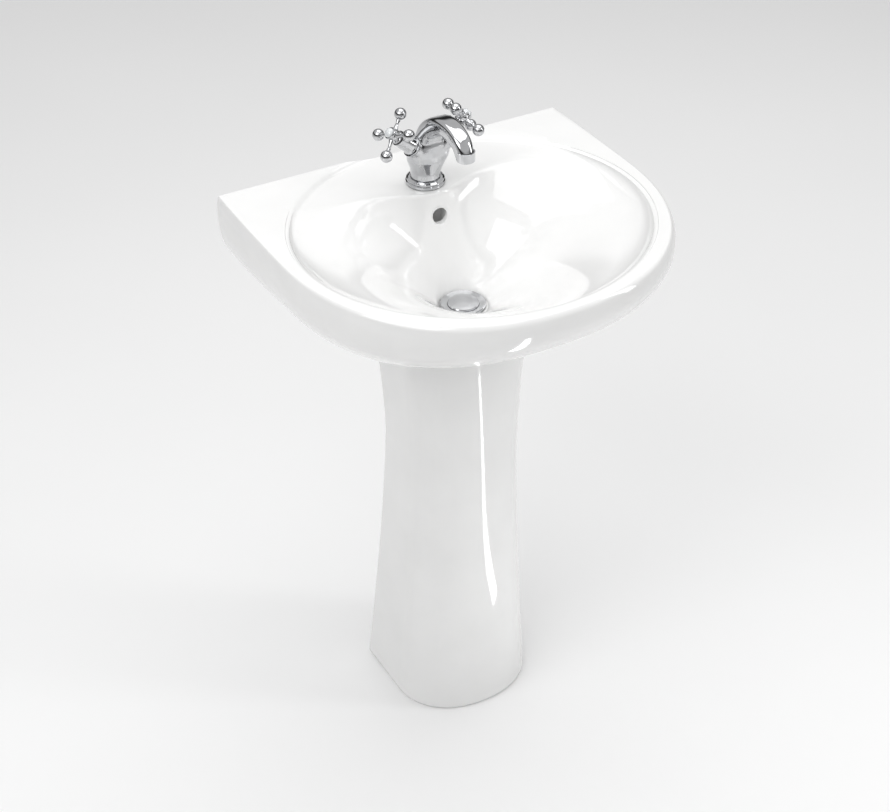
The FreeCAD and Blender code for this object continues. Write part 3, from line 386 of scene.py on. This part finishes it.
def soften_overflow(made):
    """Draws the glaze into the overflow's mouth, so that its edge is round."""
    reach, draw = OVERFLOW_R + 5.0, 3.0
    for vertex in made.data.vertices:
        x, y, height = vertex.co.x / MM, vertex.co.y / MM, vertex.co.z / MM - OVERFLOW_Z
        away = math.hypot(x, height)
        if away < reach and 60 < y < 125:
            share = min((reach - away) / 5.0, 1.0)
            vertex.co.y += draw * share * share * MM


def make_basin():
    made = loft_object("china_basin", basin_rings(), wrap=True)
    soften_overflow(made)
    cut_at_wall(made)
    face_outwards(made)
    tools = [
        rod("overflow_cut", (0, 70, OVERFLOW_Z), (0, 119, OVERFLOW_Z), OVERFLOW_R),
        block("duct_cut", (-13, 106, BOSS_Z + 24), (13, 123, RIM - 26)),
        rod("tap_cut", (0, TAP_Y, RIM - 30), (0, TAP_Y, RIM + 8), TAP_HOLE_R),
    ]
    for x in (-BOLT_X, BOLT_X):
        tools.append(rod("bolt_cut", (x, WALL - 16, BOLT_Z), (x, WALL + 5, BOLT_Z), BOLT_HOLE_R))
    tools.append(pocket_under_deck())
    combine(made, tools, "DIFFERENCE")
    shade(made, 38)
    return made


# ---------------------------------------------------------------- pedestal, by formula
FOOT_HALF, WAIST_HALF, WAIST_Z = 106.0, 79.0, 450.0
COLUMN_Y = WALL - 187.5
COLUMN_REACH = 88.5
COLUMN_WALL = 11.0
COLUMN_POWER = 2.15
NECK_FLARE, NECK_HEIGHT = 20.0, 250.0
FOOT_BACK_Y, BACK_LEAN = WALL - 86.0, 23.5
COLUMN_LEVELS = 96
COLUMN_GAP = 1.0
FOOT_ROUND, FOOT_ROUND_Z = 5.0, 7.0
LUG_Y, LUG_HALF_Y, LUG_HEIGHT = WALL - 108.0, 16.0, 14.0
SCREW_X, SCREW_HOLE_R = 65.0, 4.0


def underside(x, y):
    """Height of the basin's underside over a point of the plan."""
    angle = np.linspace(-math.pi, math.pi, 2001)
    full = outline(angle) - np.array([0.0, DRAIN_Y])
    polar = np.unwrap(np.arctan2(full[:, 1], full[:, 0]))
    length = np.linalg.norm(full, axis=1)
    here = np.arctan2(y - DRAIN_Y, x)
    scale = np.hypot(x, y - DRAIN_Y) / np.interp(here, polar, length)
    power = belly_power(np.interp(here, polar, angle))
    return RIM - ROLL - BELLY * (1 - scale ** power) ** (1 / power)


def column_ring(level):
    """One loop round the column's wall, outside then inside; level is given for each point."""
    foot_flare = FOOT_HALF - WAIST_HALF
    low = WAIST_HALF + foot_flare * (np.maximum(WAIST_Z - level, 0) / WAIST_Z) ** 1.35
    high = NECK_FLARE * (np.maximum(level - WAIST_Z, 0) / NECK_HEIGHT) ** 1.6
    half = low + high
    grown = (half - WAIST_HALF) / foot_flare
    back = FOOT_BACK_Y - BACK_LEAN * (1 - grown)
    foot = FOOT_ROUND * (1 - np.sqrt(1 - np.clip(1 - level / FOOT_ROUND_Z, 0, 1) ** 2))
    turn, side, end_in, end_back, inset = COLUMN_PATH
    wide = half - inset - foot * (inset < 1)
    reach = COLUMN_REACH - inset - foot * (inset < 1)
    radius = superellipse_radius(turn, wide, reach, COLUMN_POWER)
    x, y = radius * np.cos(turn), COLUMN_Y + radius * np.sin(turn)
    straight = side >= 0
    x = np.where(straight, np.sign(np.cos(turn)) * (wide - end_in), x)
    y = np.where(straight, COLUMN_Y + (back - end_back - COLUMN_Y) * side, y)
    return np.stack([x, y, level], 1)


def column_path():
    """Per point: turn round the front, share along a straight side, end rounding, wall inset."""
    rows = []
    front = [(-math.pi * step / 110, -1.0, 0.0, 0.0) for step in range(111)]
    sides = [step / 16 for step in range(1, 16)]
    left = [(-math.pi, share, 0.0, 0.0) for share in sides] + [(-math.pi, 1.0, 0.0, 3.0)]
    left += [(-math.pi, 1.0, 0.9, 0.9), (-math.pi, 1.0, 3.0, 0.0)]
    right = [(0.0,) + row[1:] for row in reversed(left)]
    outside = right + front + left
    for row in outside:
        rows.append(row + (0.0,))
    for row in reversed(outside):
        rows.append(row + (COLUMN_WALL,))
    columns = [np.array(column) for column in zip(*rows)]
    flip = columns[4] > 0
    columns[2] = np.where(flip, -columns[2], columns[2])
    return columns


COLUMN_PATH = column_path()


def make_pedestal():
    """The hollow column, open at the back and cut to the basin's underside, and its two lugs."""
    around = len(COLUMN_PATH[0])
    top = np.full(around, 676.0)
    for _ in range(4):
        ring = column_ring(top)
        top = underside(ring[:, 0], ring[:, 1]) - COLUMN_GAP
    rings = []
    for step in range(COLUMN_LEVELS + 1):
        rings.append(column_ring(top * (step / COLUMN_LEVELS) ** 1.25))
    vertices = np.concatenate(rings)
    faces = ring_faces(len(rings), around)
    half = around // 2
    for start, flip in ((0, False), ((len(rings) - 1) * around, True)):
        for step in range(half - 1):
            quad = (step, around - 1 - step, around - 2 - step, step + 1)
            quad = tuple(start + index for index in quad)
            faces.append(quad if flip else quad[::-1])
    made = new_object("china_pedestal", vertices, faces)
    face_outwards(made)
    lugs = []
    for side in (-1, 1):
        near, far = sorted((side * (SCREW_X - 16), side * (FOOT_HALF - 6)))
        lug = block("lug", (near, LUG_Y - LUG_HALF_Y, 0), (far, LUG_Y + LUG_HALF_Y, LUG_HEIGHT))
        screw = side * SCREW_X
        hole = rod("lug_hole", (screw, LUG_Y, -5), (screw, LUG_Y, LUG_HEIGHT + 6), SCREW_HOLE_R)
        lugs.append(combine(lug, [hole], "DIFFERENCE"))
    combine(made, lugs, "UNION")
    shade(made, 40)
    return made


# ---------------------------------------------------------------- mixer body
VALVE_FORWARD, VALVE_UP = 10.0, 45.0
VALVE_LEAN = math.radians(50)
BEADS_AT = (30.2, 32.6)
BODY_VOXEL = 0.75
HANDLE_AT = 69.0
BALL_R, BALL_AT = 8.3, 30.2


def tap_point(forward, up):
    """A point in the plane x = 0, from the tap hole's middle on the deck."""
    return np.array([0.0, TAP_Y - forward, DECK + up])


def catmull(points, count):
    """A smooth line through the points, evenly sampled by span."""
    points = [np.array(p, float) for p in points]
    padded = [2 * points[0] - points[1]] + points + [2 * points[-1] - points[-2]]
    line = []
    spans = len(points) - 1
    for step in range(count):
        at = step / (count - 1) * spans
        span = min(int(at), spans - 1)
        t = at - span
        a, b, c, d = padded[span:span + 4]
        curved = (2 * a - 5 * b + 4 * c - d) * t * t + (3 * b - a - 3 * c + d) * t ** 3
        line.append(0.5 * (2 * b + (c - a) * t + curved))
    return np.array(line)


def sweep(name, line, wide, deep, power):
    """A tube with superellipse sections along a line that lies in the plane x = 0."""
    rings = []
    count, around = len(line), 64
    turn = np.arange(around) * TURN / around
    tangents = np.gradient(line, axis=0)
    for index in range(count):
        share = index / (count - 1) * (len(wide) - 1)
        half_x = np.interp(share, range(len(wide)), wide)
        half_n = np.interp(share, range(len(deep)), deep)
        shape = np.interp(share, range(len(power)), power)
        along = tangents[index] / np.linalg.norm(tangents[index])
        outward = np.array([0.0, -along[2], along[1]])
        radius = superellipse_radius(turn, half_x, half_n, shape)
        across = np.outer(radius * np.cos(turn), [1, 0, 0])
        rings.append(line[index] + across + np.outer(radius * np.sin(turn), outward))
    return loft_object(name, rings)


def on_valve(made, side, spin=0.0):
    """Puts a piece drawn along Z on the valve's leaning axis."""
    lean = Matrix.Rotation(side * VALVE_LEAN, 4, "Y") @ Matrix.Rotation(spin, 4, "Z")
    at = Vector(tap_point(VALVE_FORWARD, VALVE_UP)) * MM
    made.data.transform(Matrix.Translation(at) @ lean)
    return made


def make_mixer_body():
    """The cast body: trunk, spout and arms merged into one skin and smoothed, then the beads."""
    # height, reach forward, half width, half depth
    sections = [
        (11, 0, 20.8, 20.8), (14, 0, 20.4, 20.4), (19, 0.5, 20.8, 20.3), (26, 2, 22.8, 20.6),
        (34, 4, 26.4, 20.8), (42, 6.5, 30.0, 20.6), (50, 8.5, 31.5, 20.0), (58, 9, 29.5, 19.2),
        (66, 9.5, 25.5, 17.8), (74, 10, 21.0, 15.6), (81, 11, 15.5, 12.5), (87, 12, 8.0, 7.0),
    ]
    rings = []
    turn = np.arange(96) * TURN / 96
    for up, forward, half_x, half_y in sections:
        at = tap_point(forward, up)
        rings.append(at + np.stack([half_x * np.cos(turn), half_y * np.sin(turn), 0 * turn], 1))
    trunk = loft_object("mixer_body", rings)
    route = ((6, 34), (7, 60), (20, 89), (44, 107), (72, 111.5), (97, 104), (109, 86))
    line = catmull([tap_point(forward, up) for forward, up in route], 90)
    # half widths, half depths and squareness of the spout's sections
    spout = sweep(
        "spout", line,
        [20, 20, 18, 15.5, 13.6, 12.6, 11.8],
        [15, 15, 13, 11.4, 10.6, 10.6, 11.4],
        [2.2, 2.4, 3.2, 4.2, 4.2, 3.4, 2.1],
    )
    arms = []
    for side in (-1, 1):
        arm = lathe("arm", [(18, 0), (17, 12), (14.6, 24), (14.2, 33.8)])
        arms.append(on_valve(arm, side))
    combine(trunk, [spout] + arms, "UNION")
    remesh = trunk.modifiers.new("remesh", "REMESH")
    remesh.mode = "VOXEL"
    remesh.voxel_size = BODY_VOXEL * MM
    smooth = trunk.modifiers.new("smooth", "SMOOTH")
    smooth.factor = 0.5
    smooth.iterations = 14
    bpy.context.view_layer.update()
    apply_modifiers(trunk)
    beads = []
    for side in (-1, 1):
        for at in BEADS_AT:
            bead = lathe("bead", [
                (13.0, at - 1.1), (14.9, at - 0.9), (15.3, at), (14.9, at + 0.9), (13.0, at + 1.1),
            ])
            beads.append(on_valve(bead, side))
    combine(trunk, beads, "UNION")
    shade(trunk, 50)
    return trunk


def make_handle(word, side, spin):
    """A cross handle: a turned hub with four waisted arms that swell into balls."""
    at = HANDLE_AT
    hub = lathe(word + "_cross_handle", [
        (8.0, at - 8), (9.0, at - 7.2), (9.0, at - 5.6), (7.6, at - 4.4),
        (7.2, at - 3), (8.2, at - 1), (8.8, at + 0.6), (8.2, at + 2.6),
        (7.6, at + 3.8), (8.6, at + 5.0), (8.8, at + 6.4), (8.0, at + 8),
    ], 96)
    profile = [
        (3.9, 5.0), (3.6, 9.0), (2.7, 12.0), (2.2, 15.5),
        (2.2, 18.5), (2.9, 20.6), (2.9, 21.8), (2.3, 22.6),
    ]
    for step in range(21):
        rise = math.radians(-72 + step * 162 / 20)
        profile.append((BALL_R * math.cos(rise), BALL_AT + BALL_R * math.sin(rise)))
    arms = []
    for quarter in range(4):
        arm = lathe("arm", profile, 48)
        turn = Matrix.Rotation(quarter * math.pi / 2, 4, "Z") @ Matrix.Rotation(math.pi / 2, 4, "Y")
        arm.data.transform(Matrix.Translation((0, 0, at * MM)) @ turn)
        arms.append(arm)
    combine(hub, arms, "UNION")
    bore = lathe("bore", [(4.2, at - 12), (4.2, at - 1)], 48)
    cup = lathe("cup", [(5.3, at + 2.5), (5.3, at + 12)], 48)
    combine(hub, [bore, cup], "DIFFERENCE")
    shade(hub, 42)
    return on_valve(hub, side, math.radians(spin))


# ---------------------------------------------------------------- materials
def noise(tree, scale, detail):
    """Noise over the piece's own coordinates."""
    place = tree.nodes.new("ShaderNodeTexCoord")
    texture = tree.nodes.new("ShaderNodeTexNoise")
    texture.inputs["Scale"].default_value = scale
    texture.inputs["Detail"].default_value = detail
    tree.links.new(place.outputs["Object"], texture.inputs["Vector"])
    return texture


def ramp(tree, source, low, high):
    """A colour between two, spread over the middle of the source's range."""
    made = tree.nodes.new("ShaderNodeValToRGB")
    for element, position, colour in zip(made.color_ramp.elements, (0.3, 0.7), (low, high)):
        element.position = position
        element.color = (*colour, 1.0)
    tree.links.new(source, made.inputs["Fac"])
    return made


def spread(tree, source, low, high):
    """A number between two, by the source."""
    made = tree.nodes.new("ShaderNodeMapRange")
    made.inputs["To Min"].default_value = low
    made.inputs["To Max"].default_value = high
    tree.links.new(source, made.inputs["Value"])
    return made


def material(name, colours, roughness, scale, bump, bump_scale, metallic=0.0, coat=0.0, ior=1.5):
    """A surface whose colour, roughness and fine relief all vary a little with noise."""
    made = bpy.data.materials.new(name)
    made.use_nodes = True
    tree = made.node_tree
    surface = tree.nodes["Principled BSDF"]
    cloudy = noise(tree, scale, 3.0)
    colour = ramp(tree, cloudy.outputs["Fac"], *colours)
    tree.links.new(colour.outputs["Color"], surface.inputs["Base Color"])
    worn = noise(tree, scale * 4.3, 5.0)
    rough = spread(tree, worn.outputs["Fac"], *roughness)
    tree.links.new(rough.outputs["Result"], surface.inputs["Roughness"])
    grain = noise(tree, bump_scale, 2.0)
    relief = tree.nodes.new("ShaderNodeBump")
    relief.inputs["Strength"].default_value = bump
    relief.inputs["Distance"].default_value = 0.0004
    tree.links.new(grain.outputs["Fac"], relief.inputs["Height"])
    tree.links.new(relief.outputs["Normal"], surface.inputs["Normal"])
    surface.inputs["Metallic"].default_value = metallic
    surface.inputs["Coat Weight"].default_value = coat
    surface.inputs["Coat Roughness"].default_value = 0.03
    surface.inputs["IOR"].default_value = ior
    return made


# per slot: name, two colours, roughness, noise scale, relief, relief scale, metallic, coat, ior
FINISHES = {
    "china": (
        "glazed_china", ((0.86, 0.86, 0.855), (0.905, 0.905, 0.9)), (0.05, 0.13),
        9.0, 0.12, 70.0, 0.0, 0.6, 1.52,
    ),
    "chrome": (
        "polished_chrome", ((0.54, 0.545, 0.56), (0.6, 0.605, 0.615)), (0.02, 0.08),
        60.0, 0.03, 900.0, 1.0,
    ),
    "rubber": (
        "black_rubber", ((0.018, 0.018, 0.018), (0.05, 0.05, 0.05)), (0.55, 0.85),
        80.0, 0.5, 2600.0,
    ),
    "white_plastic": (
        "white_plastic", ((0.74, 0.74, 0.72), (0.84, 0.84, 0.82)), (0.3, 0.5),
        90.0, 0.3, 2200.0,
    ),
    "cap_plastic": (
        "cap_enamel", ((0.66, 0.68, 0.7), (0.8, 0.82, 0.83)), (0.05, 0.15),
        160.0, 0.1, 900.0, 0.0, 1.0,
    ),
    "disc_ceramic": (
        "disc_ceramic", ((0.72, 0.7, 0.66), (0.86, 0.84, 0.8)), (0.2, 0.4),
        90.0, 0.2, 1500.0,
    ),
    "brass": (
        "turned_brass", ((0.6, 0.45, 0.2), (0.75, 0.6, 0.32)), (0.22, 0.42),
        70.0, 0.4, 1800.0, 1.0,
    ),
    "steel": (
        "plain_steel", ((0.42, 0.42, 0.42), (0.58, 0.58, 0.58)), (0.25, 0.45),
        70.0, 0.4, 1800.0, 1.0,
    ),
}
MATERIALS = {slot: material(*finish) for slot, finish in FINISHES.items()}


def dress(made, slot_name):
    """Gives a piece the one material of its slot."""
    made.data.materials.clear()
    made.data.materials.append(MATERIALS[slot_name])


def finish_piece(made, slot_name, body, *replaced):
    """A modelled piece: its look, the body it rides on and the CAD pieces it stands for."""
    dress(made, slot_name)
    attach(made, body)
    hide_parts(*replaced)


for entry in frame["record"]["subparts"]:
    dress(NODES[entry["node"]], entry["material_slot"])

finish_piece(make_basin(), "china", "basin_body", "basin")
finish_piece(make_pedestal(), "china", "basin_body", "pedestal")
finish_piece(make_mixer_body(), "chrome", "basin_body", "tap_body")
finish_piece(make_handle("hot", -1, 25.0), "chrome", "hot_turn", "hot_handle")
finish_piece(make_handle("cold", 1, 22.0), "chrome", "cold_turn", "cold_handle")


# ---------------------------------------------------------------- floor, light and camera
SKY = ((0.0, 0.5), (0.1, 0.06), (0.3, 0.04), (0.42, 1.0), (0.8, 1.0), (1.0, 0.5))
SKY_STRENGTH = 0.66
CAMERA_AT = (-1.0697, -1.8107, 2.0638)
CAMERA_DOWN, CAMERA_TURN = math.radians(35.96), math.radians(-29.40)
CAMERA_LENS, CAMERA_SENSOR = 75.4, 36.0
# name, place, target, width, height, power
LIGHTS = (
    ("key", (-1.9, -0.9, 2.9), (0, 0, 0.75), 2.4, 1.8, 34),
    ("right_strip", (2.0, -1.4, 1.9), (0, 0, 0.7), 0.4, 1.8, 11),
    ("top", (0.4, 0.4, 3.4), (0, 0, 0.8), 2.6, 2.6, 36),
    ("low_strip", (0.16, -0.53, 0.02), (0.16, -0.53, 1.0), 0.05, 0.68, 0.9),
)


def make_floor():
    side = 12000.0
    floor = block("floor", (-side, -side, -20.0), (side, side, -0.2))
    floor.data.materials.append(material(
        "pale_floor", ((0.93, 0.93, 0.93), (0.96, 0.96, 0.96)), (0.7, 0.9), 0.6, 0.05, 8.0
    ))


def area_light(name, at, target, width, height, power):
    """A rectangular lamp that faces its target."""
    lamp = bpy.data.lights.new(name, "AREA")
    lamp.shape = "RECTANGLE"
    lamp.size, lamp.size_y = width, height
    lamp.energy = power
    made = bpy.data.objects.new(name, lamp)
    bpy.context.scene.collection.objects.link(made)
    made.location = at
    made.rotation_mode = "QUATERNION"
    made.rotation_quaternion = (Vector(target) - Vector(at)).to_track_quat("-Z", "Y")


def make_world():
    """A studio sky with a dark band low down, which the chrome mirrors."""
    world = bpy.data.worlds.new("studio")
    bpy.context.scene.world = world
    world.use_nodes = True
    tree = world.node_tree
    place = tree.nodes.new("ShaderNodeTexCoord")
    split = tree.nodes.new("ShaderNodeSeparateXYZ")
    tree.links.new(place.outputs["Generated"], split.inputs["Vector"])
    bands = tree.nodes.new("ShaderNodeValToRGB")
    while len(bands.color_ramp.elements) < len(SKY):
        bands.color_ramp.elements.new(0.5)
    for element, (position, value) in zip(bands.color_ramp.elements, SKY):
        element.position = position
        element.color = (value, value, value, 1)
    tree.links.new(split.outputs["Z"], bands.inputs["Fac"])
    background = tree.nodes["Background"]
    background.inputs["Strength"].default_value = SKY_STRENGTH
    tree.links.new(bands.outputs["Color"], background.inputs["Color"])


def make_camera():
    """The camera where the photograph was taken from."""
    data = bpy.data.cameras.new("camera")
    data.sensor_width = CAMERA_SENSOR
    data.lens = CAMERA_LENS
    data.clip_end = 100.0
    made = bpy.data.objects.new("camera", data)
    bpy.context.scene.collection.objects.link(made)
    made.location = CAMERA_AT
    made.rotation_euler = (math.pi / 2 - CAMERA_DOWN, 0.0, CAMERA_TURN)
    bpy.context.scene.camera = made
    bpy.context.scene.view_settings.view_transform = "Standard"


make_floor()
make_world()
for light in LIGHTS:
    area_light(*light)
make_camera()
